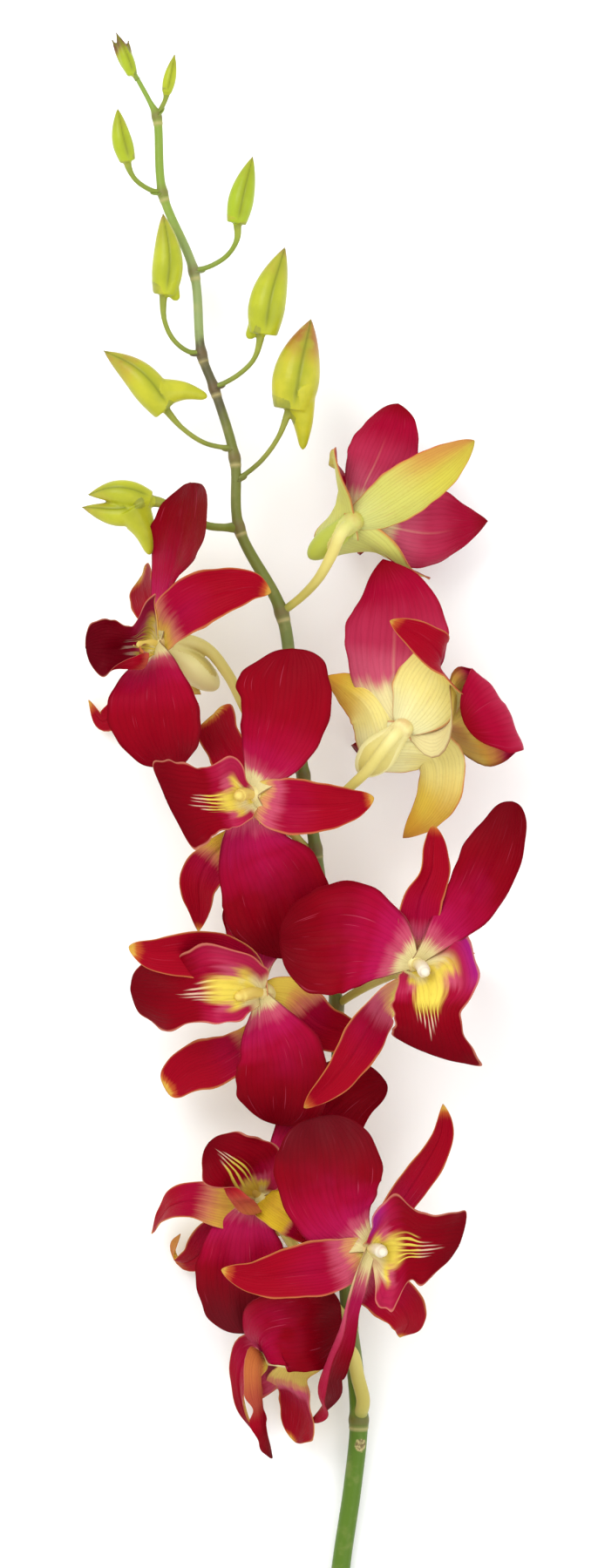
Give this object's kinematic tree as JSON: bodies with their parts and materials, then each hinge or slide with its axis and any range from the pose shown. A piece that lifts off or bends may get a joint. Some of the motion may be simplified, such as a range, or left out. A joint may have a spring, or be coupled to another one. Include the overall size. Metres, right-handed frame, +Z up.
{
  "type": "dendrobium orchid stem",
  "caption": "Cut spray of a dendrobium orchid: crimson and yellow flowers with ruffled lips along a zigzag green stem, with closed buds towards its tip, lying on its side.",
  "frame": {"origin": "on the surface that the spray lies on, under the middle of its box", "axes": "+Y along the stem from the cut end to the tip, +Z up from the surface, +X to the right of the stem seen from above"},
  "size_m": [0.1023, 0.3837, 0.0503],
  "materials": {
    "stem": "smooth, satin green stem with brownish nodes",
    "bud": "waxy, satin lime green",
    "sepals": "waxy red in front with yellow edges and tips, pale yellow behind",
    "petal": "velvety crimson, magenta and cream towards the heart",
    "lip": "velvety dark crimson with a yellow throat",
    "column": "waxy cream"
  },
  "bodies": {
    "root": {"stem": "stem", "bud_1": "bud", "bud_2": "bud", "bud_3": "bud", "bud_4": "bud", "bud_5": "bud", "bud_6": "bud", "bud_7": "bud", "bud_8": "bud", "bud_9": "bud", "flower_1_sepals": "sepals", "flower_1_petal_1": "petal", "flower_1_petal_2": "petal", "flower_1_lip": "lip", "flower_1_column": "column", "flower_2_sepals": "sepals", "flower_2_petal_1": "petal", "flower_2_petal_2": "petal", "flower_2_lip": "lip", "flower_2_column": "column", "flower_3_sepals": "sepals", "flower_3_petal_1": "petal", "flower_3_petal_2": "petal", "flower_3_lip": "lip", "flower_3_column": "column", "flower_4_sepals": "sepals", "flower_4_petal_1": "petal", "flower_4_petal_2": "petal", "flower_4_lip": "lip", "flower_4_column": "column", "flower_5_sepals": "sepals", "flower_5_petal_1": "petal", "flower_5_petal_2": "petal", "flower_5_lip": "lip", "flower_5_column": "column", "flower_6_sepals": "sepals", "flower_6_petal_1": "petal", "flower_6_petal_2": "petal", "flower_6_lip": "lip", "flower_6_column": "column", "flower_7_sepals": "sepals", "flower_7_petal_1": "petal", "flower_7_petal_2": "petal", "flower_7_lip": "lip", "flower_7_column": "column", "flower_8_sepals": "sepals", "flower_8_petal_1": "petal", "flower_8_petal_2": "petal", "flower_8_lip": "lip", "flower_8_column": "column", "flower_9_sepals": "sepals", "flower_9_petal_1": "petal", "flower_9_petal_2": "petal", "flower_9_lip": "lip", "flower_9_column": "column"}
  },
  "joints": []
}
